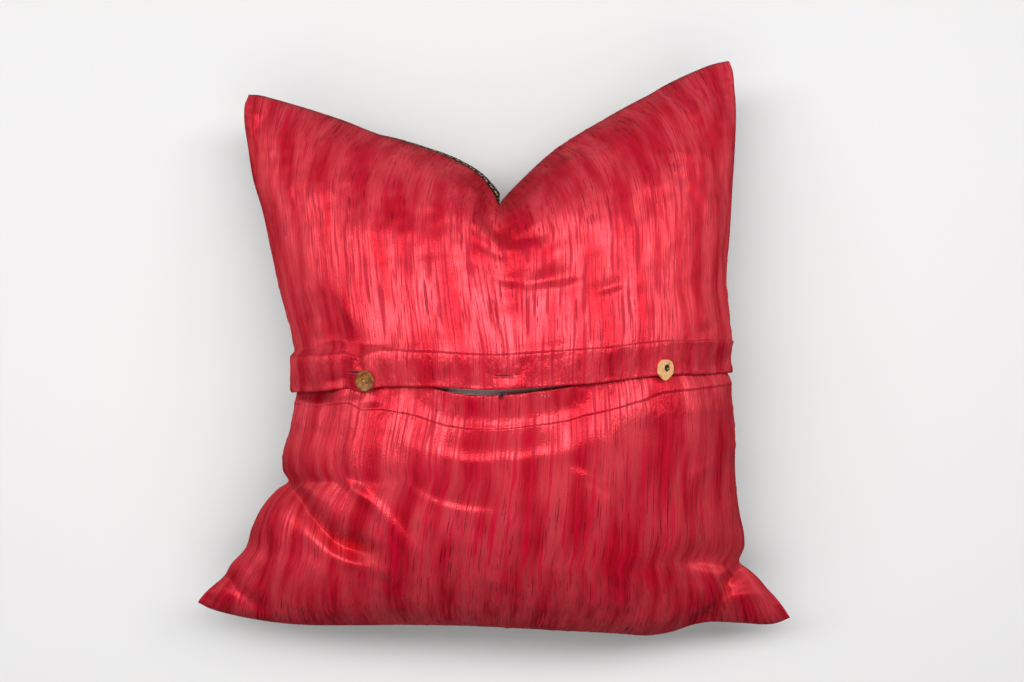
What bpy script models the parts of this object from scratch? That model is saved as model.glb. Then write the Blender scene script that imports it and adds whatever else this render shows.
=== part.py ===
"""Euro pillow cover: a square satin cover buttoned over its insert, lying on its front.

The buttoned back looks up (+Z), the chopped top edge points to +Y, and the front panel is flat
where it rests on the surface. Lengths are in millimetres until a mesh is made.
"""
import bpy
import numpy as np

for old in list(bpy.data.objects):
    bpy.data.objects.remove(old, do_unlink=True)

MM = 0.001

# The cloth and the filled form
CLOTH = 2.0             # one sewn layer with its turnings
HEM = 3.0               # the folded hem bands along the opening
CLEAR = 0.3             # between pieces that touch
INSERT_EASE = 1.6       # between the insert and the buttoned side
INSERT_REACH = 0.96     # share of the cut cover that the insert fills
NOTCH_EASE = 0.42       # share of it that the insert keeps below the chopped edge
DRAPE = 2.2             # between the flap and the hem that it hangs over
SEAM_HEIGHT = 102.0     # of the side seams above the surface
BACK_CROWN = 138.0      # of the buttoned side above the seams
FRONT_CROWN = 128.0     # of the front panel before it is pressed flat
EYE_HEIGHT = 1500.0     # over the seams: folds are placed as an eye there sees them
EYE = (20.5, 6.3)
MIDDLE = (0.6, -1.35, 0.0)      # middle of the finished cover, which is the part's origin

# Mesh steps across the cover and up each panel
ACROSS = 42
UP_UPPER = 18
UP_LOWER = 24
UP_FRONT = 24
INSERT_STEP = 2         # the insert keeps every second line of the front panel's mesh

# Outline of the sewn edge, as x, y in the plane of the seams
BOTTOM_EDGE = [(-310, -272), (-275, -279), (-213, -289), (-97, -295), (71, -297), (176, -299),
               (218, -291), (260, -288), (310, -284)]
TOP_LEFT_EDGE = [(-258, 265), (-202, 251), (-129, 228), (-76, 212), (-39, 196), (-13, 178),
                 (-1, 160), (3, 147)]
TOP_RIGHT_EDGE = [(3, 147), (12, 152), (25, 162), (60, 191), (113, 228), (165, 256), (218, 283),
                  (249, 299)]
LEFT_ABOVE = [(-204, -48), (-207, -3), (-213, 28), (-228, 102), (-246, 186), (-259, 249),
              (-258, 265)]
LEFT_BELOW = [(-204, -48), (-210, -87), (-219, -113), (-219, -130), (-213, -147), (-235, -166),
              (-255, -203), (-262, -218), (-274, -236), (-291, -255), (-310, -272)]
RIGHT_ABOVE = [(245, -28), (245, 49), (252, 123), (255, 207), (253, 270), (249, 299)]
RIGHT_BELOW = [(245, -28), (250, -56), (257, -129), (262, -192), (264, -208), (259, -227),
               (266, -232), (281, -245), (296, -262), (310, -284)]
FLAP_EDGE = [(-204, -48), (-157, -44), (-134, -43), (-66, -42), (8, -45), (54, -42), (118, -37),
             (174, -30), (218, -29), (245, -28)]

# Top edge of the lower panel's hem: x, and how far it reaches under the flap (less than 0 shows)
HEM_EDGE = [(-215, 25), (-150, 21), (-117, 13), (-83, 6), (-64, 0), (-49, -4), (-28, -6),
            (5, -5.5), (33, -4.5), (62, -3), (82, -1), (97, 3), (140, 9), (163, 13), (178, 18),
            (250, 25)]
HEM_WIDTH = 37.0
GAP_MIDDLE = 12.0       # x of the slack middle of the opening
GAP_HALF = 165.0
GAP_SAG = 13.0          # how deep the slack hem drops into the opening

# Corners: side, end, how far the ear droops
EARS = [(-1, -1, 34.0), (1, -1, 44.0), (-1, 1, 10.0), (1, 1, 14.0)]
EAR_POWER = 5
STEP_SLOPE = 20.0       # width of the slope where the cloth steps down into a fold

# Folds: route, depth (a ridge is negative), width on each side of the route, fade at each end,
# and how far the lower side stays down as a step, with the width of that step's slope
FOLDS = {
    "notch": dict(route=[(5, 149), (-8, 128), (6, 110), (24, 104), (58, 102)], depth=10,
                  left=8, right=14, fade=(0.0, 0.45), step=16, reach=34),
    "under_notch": dict(route=[(5, 94), (29, 83), (55, 80), (111, 79)], depth=4.5,
                        left=13, right=9, fade=(0.35, 0.4), step=0, reach=1),
    "beside_notch": dict(route=[(107, 61), (149, 69)], depth=1.6,
                         left=9, right=7, fade=(0.4, 0.4), step=0, reach=1),
    "left_lobe": dict(route=[(-222, -140), (-210, -147), (-184, -175), (-159, -201), (-104, -213)],
                      depth=12, left=8, right=17, fade=(0.0, 0.3), step=22, reach=52),
    "left_ear": dict(route=[(-277, -243), (-262, -257), (-237, -272), (-218, -273)], depth=7,
                     left=7, right=9, fade=(0.0, 0.4), step=0, reach=1),
    "right_ear": dict(route=[(262, -224), (250, -236), (242, -247), (240, -257), (236, -269),
                             (222, -277), (196, -291)], depth=8,
                      left=10, right=4, fade=(0.0, 0.3), step=-20, reach=40),
    "right_body": dict(route=[(262, -214), (218, -219), (188, -230)], depth=6,
                       left=12, right=12, fade=(0.1, 0.4), step=0, reach=1),
    "long_ridge": dict(route=[(-176, -124), (-109, -180), (-71, -234)], depth=-3.5,
                       left=7, right=7, fade=(0.35, 0.3), step=0, reach=1),
    "lower_crease": dict(route=[(-92, -133), (-67, -154), (-33, -165), (17, -169)], depth=2.5,
                         left=9, right=6, fade=(0.3, 0.4), step=0, reach=1),
}

BUTTONS = {
    "button_left": dict(at=(-127, -36), wide=19.0, long=22.0, turn=-8.0, tip=24.0, taper=0.0,
                        dish=1.1, colour=(0.165, 0.062, 0.022)),
    "button_right": dict(at=(176, -24.5), wide=19.0, long=20.4, turn=0.0, tip=4.0, taper=0.16,
                         dish=0.0, colour=(0.62, 0.38, 0.17)),
}
BUTTON_THICK = 3.6
BUTTON_EYE = 2.7        # radius of the sunk middle
BUTTON_SIDES = 24


def ease(value):
    """A smooth rise from 0 at 0 to 1 at 1."""
    value = np.clip(value, 0.0, 1.0)
    return value * value * (3.0 - 2.0 * value)


def smooth_curve(points, samples=200):
    """Points along a smooth curve through a few given ones, with their share of its length."""
    points = np.asarray(points, float)
    chord = np.concatenate([[0.0], np.cumsum(np.linalg.norm(np.diff(points, axis=0), axis=1))])
    slope = np.gradient(points, chord, axis=0)
    at = np.linspace(0.0, chord[-1], samples)
    first = np.clip(np.searchsorted(chord, at, side="right") - 1, 0, len(points) - 2)
    span = (chord[first + 1] - chord[first])[:, None]
    f = (at[:, None] - chord[first][:, None]) / span
    curve = ((2 * f**3 - 3 * f**2 + 1) * points[first] + (f**3 - 2 * f**2 + f) * span * slope[first]
             + (3 * f**2 - 2 * f**3) * points[first + 1] + (f**3 - f**2) * span * slope[first + 1])
    length = np.concatenate([[0.0], np.cumsum(np.linalg.norm(np.diff(curve, axis=0), axis=1))])
    return curve, length / length[-1]


def along(points, share):
    """The places at given shares of the length of a smooth curve."""
    curve, length = smooth_curve(points)
    return np.stack([np.interp(share, length, curve[:, k]) for k in (0, 1)], axis=-1)


def hermite(start, end, leave, arrive, f):
    """A cubic from start to end that leaves and arrives along given vectors."""
    f = f[..., None]
    return ((2 * f**3 - 3 * f**2 + 1) * start + (f**3 - 2 * f**2 + f) * leave
            + (3 * f**2 - 2 * f**3) * end + (f**3 - f**2) * arrive)


def top_edge(p):
    """The top seam, with its chopped middle at p = 0, and the direction square to it."""
    def place(across):
        left = along(TOP_LEFT_EDGE, across + 1.0)
        right = along(TOP_RIGHT_EDGE, across)
        return np.where((across < 0)[..., None], left, right)
    before, after = place(np.clip(p - 0.08, -1, 1)), place(np.clip(p + 0.08, -1, 1))
    run = after - before
    run = run / np.maximum(np.linalg.norm(run, axis=-1, keepdims=True), 1e-9)
    return place(p), np.stack([-run[..., 1], run[..., 0]], axis=-1)


def loft(p, q):
    """The cover's plan: each line of warp leaves the bottom seam straight up, crosses the flap's
    edge, and meets the top seam square to it."""
    bottom = along(BOTTOM_EDGE, (p + 1) / 2)
    middle = along(FLAP_EDGE, (p + 1) / 2)
    top, square = top_edge(p)
    up = np.zeros_like(bottom)
    up[..., 1] = 1.0
    rise = np.linalg.norm(top - middle, axis=-1, keepdims=True)
    upper = hermite(middle, top, up * 300.0, square * (rise * 1.6 - 200.0), np.clip(q, 0, 1))
    lower = hermite(middle, bottom, up * -250.0, up * -220.0, np.clip(-q, 0, 1))
    return np.where((q < 0)[..., None], lower, upper)


def side_edge(above, below, q):
    """A side seam: up from the flap's edge for q over 0 and down from it below."""
    return np.where((q < 0)[..., None], along(below, np.clip(-q, 0, 1)),
                    along(above, np.clip(q, 0, 1)))


def plan(u, v):
    """Where the eye sees a point of the cloth. u runs across and v up the cover as it was cut,
    from -1 to 1, with v = 0 at the flap's edge. Returns the place and its shares p, q."""
    p = u + 0.9 * (1 - v**2) * (np.sin(np.pi * u / 2) - u)
    q = v + 0.8 * (1 - u**2) * (np.sin(np.pi * v / 2) - v)
    place = loft(p, q)
    one = np.ones_like(p)
    left = side_edge(LEFT_ABOVE, LEFT_BELOW, q) - loft(-one, q)
    right = side_edge(RIGHT_ABOVE, RIGHT_BELOW, q) - loft(one, q)
    place = place + left * (((1 - p) / 2) ** 3)[..., None] + right * (((1 + p) / 2) ** 3)[..., None]
    return place, p, q


def seam_height(p, q):
    """Height of the seams' surface: level, with drooping corners."""
    height = np.full_like(p, SEAM_HEIGHT)
    for side, end, droop in EARS:
        height -= droop * (((1 + side * p) / 2) * ((1 + end * q) / 2)) ** EAR_POWER
    return height


def crown(p, q, high, settle=0.08):
    """Rise of a filled panel over its seams: flat in the middle, round towards each seam, and
    fullest a little below the middle, where the filling has settled."""
    across = np.clip(1 - np.abs(p) ** 2.5, 0, 1) ** 0.5
    up = np.where(q > 0, np.clip(1 - np.abs(q) ** 3.0, 0, 1) ** 0.56,
                  np.clip(1 - np.abs(q) ** 2.7, 0, 1) ** 0.5)
    return high * across * up * (1 - settle * q)


def route_distance(place, route):
    """Signed distance from a fold's route (left is positive) and the share of its length."""
    curve, share = smooth_curve(route, 60)
    start, run = curve[:-1], np.diff(curve, axis=0)
    offset = place[..., None, :] - start
    f = np.clip((offset * run).sum(-1) / (run * run).sum(-1), 0, 1)
    gap = offset - f[..., None] * run
    far = np.linalg.norm(gap, axis=-1)
    nearest = far.argmin(-1)[..., None]
    side = run[:, 0] * offset[..., 1] - run[:, 1] * offset[..., 0]
    sign = np.where(np.take_along_axis(side, nearest, -1)[..., 0] >= 0, 1.0, -1.0)
    at = np.take_along_axis(share[:-1] + f * np.diff(share), nearest, -1)[..., 0]
    return np.take_along_axis(far, nearest, -1)[..., 0] * sign, at


def fold_drop(place):
    """How far all folds lower the cloth: a trough along each route, and a step that dies away."""
    drop = np.zeros(place.shape[:-1])
    for fold in FOLDS.values():
        far, at = route_distance(place, fold["route"])
        start, end = fold["fade"]
        strong = ease(at / max(start, 1e-6)) if start else 1.0
        strong = strong * ease((1 - at) / max(end, 1e-6))
        width = np.where(far > 0, fold["left"], fold["right"])
        drop += strong * fold["depth"] * np.exp(-(far / width) ** 2)
        if fold["step"]:
            down = -far * np.sign(fold["step"])
            drop += (strong * abs(fold["step"]) * ease(0.5 + down / STEP_SLOPE)
                     * np.exp(-np.clip(down, 0, None) / fold["reach"]))
    return drop


def back_surface(u, v):
    """Inside face of the buttoned side, its normals, and the eye's view of each point."""
    seen, p, q = plan(u, v)
    seam = seam_height(p, q)
    rise = crown(p, q, BACK_CROWN)
    left_over = 1 - fold_drop(seen) / np.maximum(rise, 1.0)
    rise = rise * np.maximum(left_over, 0.25 + 0.1 * np.tanh(left_over))
    height = seam + CLEAR / 2 + rise
    away = (1 - (height - SEAM_HEIGHT) / EYE_HEIGHT)[..., None]
    points = np.concatenate([EYE + (seen - EYE) * away, height[..., None]], axis=-1)
    return points, grid_normals(points), seen


def front_surface(u, v):
    """Inside face of the front panel, pressed flat where it rests, and its normals."""
    seen, p, q = plan(u, v)
    seam = seam_height(p, q)
    height = seam - CLEAR / 2 - crown(p, q, FRONT_CROWN, 0.0) - CLOTH
    press = 10.0
    height = CLOTH + np.where(height > 0, height * (1 - np.exp(-np.clip(height, 0, None) / press)), 0.0)
    away = (1 - (seam - SEAM_HEIGHT) / EYE_HEIGHT)[..., None]
    points = np.concatenate([EYE + (seen - EYE) * away, height[..., None]], axis=-1)
    edge = (np.abs(u) > 1 - 1e-9) | (np.abs(v) > 1 - 1e-9)
    points[..., 2] = np.where(edge, seam - CLEAR / 2, points[..., 2])
    return points, -grid_normals(points)


def grid_normals(points):
    """Upward normals of a grid whose rows run up the cover and whose columns run across."""
    normal = np.cross(np.gradient(points, axis=1), np.gradient(points, axis=0))
    return normal / np.linalg.norm(normal, axis=-1, keepdims=True)


def over_flap_edge(seen):
    """How far a point is above the flap's edge."""
    edge, _ = smooth_curve(FLAP_EDGE)
    return seen[..., 1] - np.interp(seen[..., 0], edge[:, 0], edge[:, 1])


def hem_reach(x):
    """How far the lower panel's hem reaches under the flap."""
    xs, reach = np.array(HEM_EDGE, float).T
    return np.interp(x, xs, reach)


def gap_sag(seen):
    """Drop of the slack hem: deepest at its edge, gone at its row of stitches."""
    across = ease(1 - np.abs(seen[..., 0] - GAP_MIDDLE) / GAP_HALF)
    below = hem_reach(seen[..., 0]) - over_flap_edge(seen)
    return GAP_SAG * across * ease(1 - below / (HEM_WIDTH * 1.25))


def tuck(u):
    """1 where the hem lies within the filled form, and 0 at the side seams, which hold it out."""
    return ease((1 - np.abs(u)) / 0.25)


def flap_lift(u, seen):
    """How far the flap stands off the filled form, so that it clears the hem under it."""
    up = over_flap_edge(seen)
    return (DRAPE + HEM * (1 - tuck(u))) * ease((62.0 - up) / 30.0)


def hem_sink(u, seen):
    """How far the lower panel lies under the filled form near the opening, with its slack."""
    up = over_flap_edge(seen)
    return HEM * tuck(u) * ease((up + 40.0) / 40.0) + gap_sag(seen)


def make_object(name, points, faces, colour, roughness):
    """One closed mesh with its material."""
    mesh = bpy.data.meshes.new(name)
    mesh.from_pydata(((points - MIDDLE) * MM).tolist(), [], faces)
    mesh.update()
    finish = bpy.data.materials.new(name)
    finish.use_nodes = True
    shader = finish.node_tree.nodes["Principled BSDF"]
    shader.inputs["Base Color"].default_value = (*colour, 1.0)
    shader.inputs["Roughness"].default_value = roughness
    shader.inputs["Metallic"].default_value = 0.0
    mesh.materials.append(finish)
    piece = bpy.data.objects.new(name, mesh)
    bpy.context.collection.objects.link(piece)
    mesh.shade_smooth()
    mesh.set_sharp_from_angle(angle=np.radians(50))
    return piece


def shell(upper, lower):
    """A closed shell between two grids of the same size, upper over lower."""
    rows, columns = upper.shape[:2]
    count = rows * columns
    index = np.arange(count).reshape(rows, columns)
    a, b, c, d = index[:-1, :-1], index[:-1, 1:], index[1:, 1:], index[1:, :-1]
    top = np.stack([a, b, c, d], axis=-1).reshape(-1, 4)
    under = top[:, ::-1] + count
    rim = np.concatenate([index[0, :-1], index[:-1, -1], index[-1, :0:-1], index[:0:-1, 0]])
    after = np.roll(rim, -1)
    wall = np.stack([rim, rim + count, after + count, after], axis=-1)
    faces = np.concatenate([top, under, wall]).tolist()
    return np.concatenate([upper.reshape(-1, 3), lower.reshape(-1, 3)]), faces


def lines(count, gather=0.55):
    """Shares from -1 to 1, set closer towards both ends."""
    even = np.linspace(-1, 1, count + 1)
    return (1 - gather) * even + gather * np.sin(np.pi * even / 2)


def panel_rows(low, high, count):
    """Cloth coordinates of a panel's mesh, whose low and high edges may vary across."""
    across = lines(ACROSS)
    u = np.tile(across, (count + 1, 1))
    share = (lines(count, 0.35)[:, None] + 1) / 2
    return u, low + (high - low) * share


def hem_edge_rows(u):
    """The v at which the lower panel ends, found by halving."""
    low, high = np.full_like(u, -0.2), np.full_like(u, 0.3)
    for _ in range(30):
        middle = (low + high) / 2
        seen, _, _ = plan(u, middle)
        past = over_flap_edge(seen) > hem_reach(seen[..., 0])
        low, high = np.where(past, low, middle), np.where(past, middle, high)
    return (low + high) / 2


def upper_panel():
    """Upper back panel: its hemmed flap hangs free over the lower panel."""
    u, v = panel_rows(0.0, 1.0, UP_UPPER)
    inside, normal, seen = back_surface(u, v)
    inside = inside + normal * flap_lift(u, seen)[..., None]
    thick = CLOTH + (HEM - CLOTH) * ease((42.0 - over_flap_edge(seen)) / 6.0)
    make_object("back_upper_panel", *shell(inside + normal * thick[..., None], inside),
                (0.60, 0.02, 0.05), 0.45)


def lower_panel():
    """Lower back panel: its hem reaches under the flap and hangs slack between the buttons."""
    u, v = panel_rows(-1.0, hem_edge_rows(lines(ACROSS)), UP_LOWER)
    inside, normal, seen = back_surface(u, v)
    inside = inside - normal * hem_sink(u, seen)[..., None]
    hem = hem_reach(seen[..., 0]) - over_flap_edge(seen)
    thick = CLOTH + (HEM - CLOTH) * ease((HEM_WIDTH + 3.0 - hem) / 6.0)
    make_object("back_lower_panel", *shell(inside + normal * thick[..., None], inside),
                (0.56, 0.02, 0.05), 0.45)


def front_panel():
    """Front panel, which is woven of other yarn and lies underneath."""
    u, v = panel_rows(-1.0, 1.0, UP_FRONT)
    inside, normal = front_surface(u, v)
    make_object("front_panel", *shell(inside, inside + normal * CLOTH), (0.045, 0.022, 0.014), 0.85)


def insert():
    """The pillow inside, a little clear of the cover, without the cover's empty corners."""
    u, v = np.meshgrid(lines(ACROSS) * INSERT_REACH, lines(UP_FRONT * 2, 0.35) * INSERT_REACH)
    v = v - NOTCH_EASE * ease(v) * (1 - np.abs(u)) ** 2
    top, normal, seen = back_surface(u, v)
    near = ease((over_flap_edge(seen) + 75.0) / 40.0) * ease((90.0 - over_flap_edge(seen)) / 40.0)
    top = top - normal * (near * (HEM + GAP_SAG * 1.25 * ease(
        1 - np.abs(seen[..., 0] - GAP_MIDDLE) / (GAP_HALF * 1.2))))[..., None]
    under, _ = front_surface(u, v)
    columns = np.arange(2, ACROSS - 1, INSERT_STEP)
    rows = np.arange(4, UP_FRONT * 2 - 3, INSERT_STEP * 2)
    upper = spaced(top, rows, columns, INSERT_STEP, -1, INSERT_EASE)
    lower = spaced(under, rows, columns, INSERT_STEP, 1, 2 * CLEAR)
    make_object("insert", *shell(upper, lower), (0.80, 0.78, 0.76), 0.9)


def spaced(points, rows, columns, step, way, margin):
    """Every few lines of a grid, at its lowest (way -1) or highest height nearby, and a margin."""
    height = points[..., 2] * way
    high, wide = height.shape
    worst = height.copy()
    for down in range(-2 * step, 2 * step + 1):
        for side in range(-step, step + 1):
            r = np.clip(np.arange(high) + down, 0, high - 1)
            c = np.clip(np.arange(wide) + side, 0, wide - 1)
            worst = np.maximum(worst, height[np.ix_(r, c)])
    kept = points[np.ix_(rows, columns)].copy()
    kept[..., 2] = way * (worst[np.ix_(rows, columns)] + margin)
    return kept


def cloth_at(x, y):
    """The point of the flap's outer face that the eye sees at x, y, and its normal."""
    u, v = x / 260.0, 0.05
    step = 1e-3
    for _ in range(12):
        near, _, _ = plan(np.array([u, u + step, u]), np.array([v, v, v + step]))
        turn = np.stack([near[1] - near[0], near[2] - near[0]], axis=-1) / step
        du, dv = np.linalg.solve(turn, np.array([x, y]) - near[0])
        u, v = u + du, v + dv
    su, sv = np.meshgrid(u + np.array([-1, 0, 1]) * 0.01, v + np.array([-1, 0, 1]) * 0.01)
    inside, normal, seen = back_surface(su, sv)
    out = flap_lift(su, seen)[1, 1] + HEM
    return inside[1, 1] + normal[1, 1] * out, normal[1, 1]


def button(name, at, wide, long, turn, tip, taper, dish, colour):
    """A round of shell or of branch: turned profile rings over an outline that may taper."""
    angle = np.linspace(0, 2 * np.pi, BUTTON_SIDES, endpoint=False)
    shape = 1 - taper * np.clip(-np.sin(angle), 0, 1) * np.abs(np.cos(angle)) ** 0.5
    outline = np.stack([wide / 2 * shape * np.cos(angle), long / 2 * shape * np.sin(angle)], axis=-1)
    eye = BUTTON_EYE / (long / 2)
    half = BUTTON_THICK / 2
    rings = [(0.86, -half), (1.0, -half * 0.4), (1.0, half * 0.4), (0.9, half),
             (eye * 1.25, half - dish), (eye, half - dish - 1.2)]
    body = [np.column_stack([outline * size, np.full(BUTTON_SIDES, height)]) for size, height in rings]
    points = np.concatenate(body)
    faces = [[ring * BUTTON_SIDES + k, ring * BUTTON_SIDES + (k + 1) % BUTTON_SIDES,
              (ring + 1) * BUTTON_SIDES + (k + 1) % BUTTON_SIDES, (ring + 1) * BUTTON_SIDES + k]
             for ring in range(len(rings) - 1) for k in range(BUTTON_SIDES)]
    faces.append(list(range(BUTTON_SIDES))[::-1])
    faces.append([(len(rings) - 1) * BUTTON_SIDES + k for k in range(BUTTON_SIDES)])
    place, normal = cloth_at(*at)
    right = np.cross([0.0, 1.0, 0.0], normal)
    right /= np.linalg.norm(right)
    up = np.cross(normal, right)
    spin, lean = np.radians(turn), np.radians(tip)
    across = np.cos(spin) * right + np.sin(spin) * up
    length = np.cos(spin) * up - np.sin(spin) * right
    tilted = np.cos(lean) * across - np.sin(lean) * normal
    out = np.cross(tilted, length)
    points = points[:, :1] * tilted + points[:, 1:2] * length + points[:, 2:] * out
    points = points + place + normal * (CLEAR - (points @ normal).min())
    make_object(name, points, faces, colour, 0.5)


front_panel()
insert()
lower_panel()
upper_panel()
for button_name, facts in BUTTONS.items():
    button(button_name, **facts)
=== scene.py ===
import bpy
import numpy as np
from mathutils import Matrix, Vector


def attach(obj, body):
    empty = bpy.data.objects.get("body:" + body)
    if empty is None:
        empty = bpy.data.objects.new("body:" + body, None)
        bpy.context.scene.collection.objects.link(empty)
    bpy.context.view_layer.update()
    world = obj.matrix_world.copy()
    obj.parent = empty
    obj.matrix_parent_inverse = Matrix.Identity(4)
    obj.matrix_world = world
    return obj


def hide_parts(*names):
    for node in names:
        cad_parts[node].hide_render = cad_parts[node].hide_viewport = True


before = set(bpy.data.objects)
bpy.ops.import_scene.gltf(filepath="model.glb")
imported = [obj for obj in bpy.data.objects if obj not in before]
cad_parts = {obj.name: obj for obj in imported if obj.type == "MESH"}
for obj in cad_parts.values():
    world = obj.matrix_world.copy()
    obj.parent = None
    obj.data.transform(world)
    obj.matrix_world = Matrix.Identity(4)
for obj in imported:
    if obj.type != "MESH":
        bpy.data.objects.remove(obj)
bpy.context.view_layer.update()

# Viewpoint. The cover was photographed standing, by an eye 1.5 m off its seams. Lying on its
# front it is seen from straight above, with its chopped edge at the top of the picture.
MM = 0.001
SEAM_HEIGHT = 102.0                 # of the side seams above the surface, in mm as all lengths here
EYE_HEIGHT = 1500.0                 # over the seams
EYE = np.array([20.5, 6.3])
MIDDLE = np.array([0.6, -1.35, 0.0])        # middle of the finished cover, which is the origin
PICTURE_WIDTH = 1075.2              # of the seams' plane that the picture takes in
SENSOR = 36.0

camera_data = bpy.data.cameras.new("viewpoint")
camera_data.sensor_width = SENSOR
camera_data.lens = SENSOR * EYE_HEIGHT / PICTURE_WIDTH
camera = bpy.data.objects.new("viewpoint", camera_data)
camera.location = Vector((*(EYE - MIDDLE[:2]), SEAM_HEIGHT + EYE_HEIGHT)) * MM
bpy.context.collection.objects.link(camera)
bpy.context.scene.camera = camera
bpy.context.scene.view_settings.view_transform = "Standard"


# Front panel. A coarse plain weave of dark brown yarn with cream flecks, cut 660 mm square and
# sewn to the two satin panels all round. It lies underneath and peeps out at a few of the seams.
CLEAR = 0.3             # between pieces that touch
CLOTH = 1.2             # one layer of either cloth
SEAM_PRESS = 8.0        # how far from a seam the cloth is pinched thin
FRONT_CROWN = 128.0     # of the front panel before it is pressed flat
FRONT_PRESS = 10.0      # height over which the pressing dies away
CUT_HALF = 330.0        # half the cut width
CUT_ABOVE = 383.0       # cut length from the flap's edge to the top seam
CUT_BELOW = 277.0       # and to the bottom seam
FRONT_MESH = (160, 160)         # columns and rows
ROW_GATHER = 0.35       # how much closer the rows of a mesh lie near the seams
FRONT_LUMPS = ((1.4, 90.0), (0.5, 34.0))        # heights and lengths of its unevenness

BOTTOM_EDGE = [(-311, -270), (-275, -280), (-213, -290), (-150, -291.5), (-97, -291), (-30, -292),
               (71, -297), (130, -300), (165, -302), (185, -299), (210, -291), (222, -288.5),
               (260, -289), (295, -290), (313, -285)]
TOP_LEFT_EDGE = [(-259, 268), (-202, 252), (-129, 228.5), (-76, 212.5), (-39, 198), (-19, 186),
                 (-5, 172), (3, 160), (7, 150)]
TOP_RIGHT_EDGE = [(7, 150), (18, 162), (39, 183), (60, 202), (81, 217), (113, 236), (165, 265.5),
                  (207, 286.5), (228, 295), (249, 301)]
LEFT_ABOVE = [(-204, -48), (-203.5, -26), (-202, -13), (-200, -3), (-203.5, 4), (-209, 16),
              (-213.5, 28), (-232, 102), (-241, 144), (-250.5, 176), (-256, 210), (-260, 240),
              (-259, 268)]
LEFT_BELOW = [(-204, -48), (-207.5, -64), (-212, -87), (-219.5, -113), (-219, -130), (-213.5, -141),
              (-224, -149), (-239, -165), (-252, -190), (-259, -212), (-270, -224), (-285, -240),
              (-300, -256), (-311, -270)]
RIGHT_ABOVE = [(245, -28), (242, -10), (241.5, 5), (245, 22), (246.5, 40), (245, 64), (245.5, 86),
               (249, 123), (256, 207), (257.5, 240), (256, 270), (252, 290), (249, 301)]
RIGHT_BELOW = [(245, -28), (248.5, -36), (251, -56), (254, -90), (254, -129), (255.5, -150),
               (259.5, -178), (263, -194), (264, -208), (259, -227), (266, -232), (281, -245),
               (297, -262), (313, -285)]
FLAP_EDGE = [(-204, -48), (-157, -44.5), (-150, -43.5), (-144, -45.5), (-137, -47.5), (-130, -45.5),
             (-121, -43), (-98, -41.5), (-66, -42), (8, -45), (54, -42), (118, -37), (174, -30),
             (218, -29), (245, -28)]

# Corners: side, end, how far the ear droops, and how far its round tip is drawn in
EARS = [(-1, -1, 34.0, 2.0), (1, -1, 44.0, 1.0), (-1, 1, 10.0, 3.2), (1, 1, 14.0, 1.0)]
TIP_REACH = 11.0        # of the drawing in
EAR_POWER = 5           # how fast an ear's droop dies away from its tip
CHOP_POWER = 3.5        # how much longer the cloth stays flat under the chopped edge

# Stretches of the seam that roll to the back: edge, from and to along it, how far they roll
SEAM_ROLLS = [("top", -0.66, 0.04, 5.0), ("top", 0.52, 0.74, 1.5), ("right", 0.40, 0.98, 2.6),
              ("left", -1.0, -0.78, 5.0), ("right", -1.0, -0.80, 2.5)]


def ease(value):
    """A smooth rise from 0 at 0 to 1 at 1."""
    value = np.clip(value, 0.0, 1.0)
    return value * value * (3.0 - 2.0 * value)


def unit(vectors):
    """The directions of vectors, as vectors of length 1."""
    return vectors / np.maximum(np.linalg.norm(vectors, axis=-1, keepdims=True), 1e-9)


def length_to(points):
    """The length of a line up to each of its points."""
    return np.concatenate([[0.0], np.cumsum(np.linalg.norm(np.diff(points, axis=0), axis=1))])


def hermite(start, end, leave, arrive, f):
    """A cubic from start to end that leaves and arrives along given vectors."""
    f = f[..., None]
    return ((2 * f**3 - 3 * f**2 + 1) * start + (f**3 - 2 * f**2 + f) * leave
            + (3 * f**2 - 2 * f**3) * end + (f**3 - f**2) * arrive)


def smooth_curve(points, samples=200):
    """Points along a smooth curve through a few given ones, with their share of its length: a
    cubic between each two, whose slopes are those of the chord through its neighbours."""
    points = np.asarray(points, float)
    chord = length_to(points)
    slope = np.gradient(points, chord, axis=0)
    at = np.linspace(0.0, chord[-1], samples)
    first = np.clip(np.searchsorted(chord, at, side="right") - 1, 0, len(points) - 2)
    span = chord[first + 1] - chord[first]
    curve = hermite(points[first], points[first + 1], slope[first] * span[:, None],
                    slope[first + 1] * span[:, None], (at - chord[first]) / span)
    length = length_to(curve)
    return curve, length / length[-1]


def along(points, share):
    """The places at given shares of the length of a smooth curve."""
    curve, length = smooth_curve(points)
    return np.stack([np.interp(share, length, curve[:, k]) for k in (0, 1)], axis=-1)


def top_edge(p):
    """The top seam, with its chopped middle at p = 0, and the direction square to it."""
    def place(across):
        left = along(TOP_LEFT_EDGE, across + 1.0)
        right = along(TOP_RIGHT_EDGE, across)
        return np.where((across < 0)[..., None], left, right)
    run = unit(place(np.clip(p + 0.08, -1, 1)) - place(np.clip(p - 0.08, -1, 1)))
    return place(p), np.stack([-run[..., 1], run[..., 0]], axis=-1)


def loft(p, q):
    """The cover's plan: each line of warp is a cubic that leaves the bottom seam straight up,
    crosses the flap's edge at q = 0, and meets the top seam square to it."""
    bottom = along(BOTTOM_EDGE, (p + 1) / 2)
    middle = along(FLAP_EDGE, (p + 1) / 2)
    top, square = top_edge(p)
    up = np.zeros_like(bottom)
    up[..., 1] = 1.0
    rise = np.linalg.norm(top - middle, axis=-1, keepdims=True)
    upper = hermite(middle, top, up * 300.0, square * (rise * 1.6 - 200.0), np.clip(q, 0, 1))
    lower = hermite(middle, bottom, up * -250.0, up * -220.0, np.clip(-q, 0, 1))
    return np.where((q < 0)[..., None], lower, upper)


def side_edge(above, below, q):
    """A side seam: up from the flap's edge for q over 0 and down from it below."""
    return np.where((q < 0)[..., None], along(below, np.clip(-q, 0, 1)),
                    along(above, np.clip(q, 0, 1)))


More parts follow.
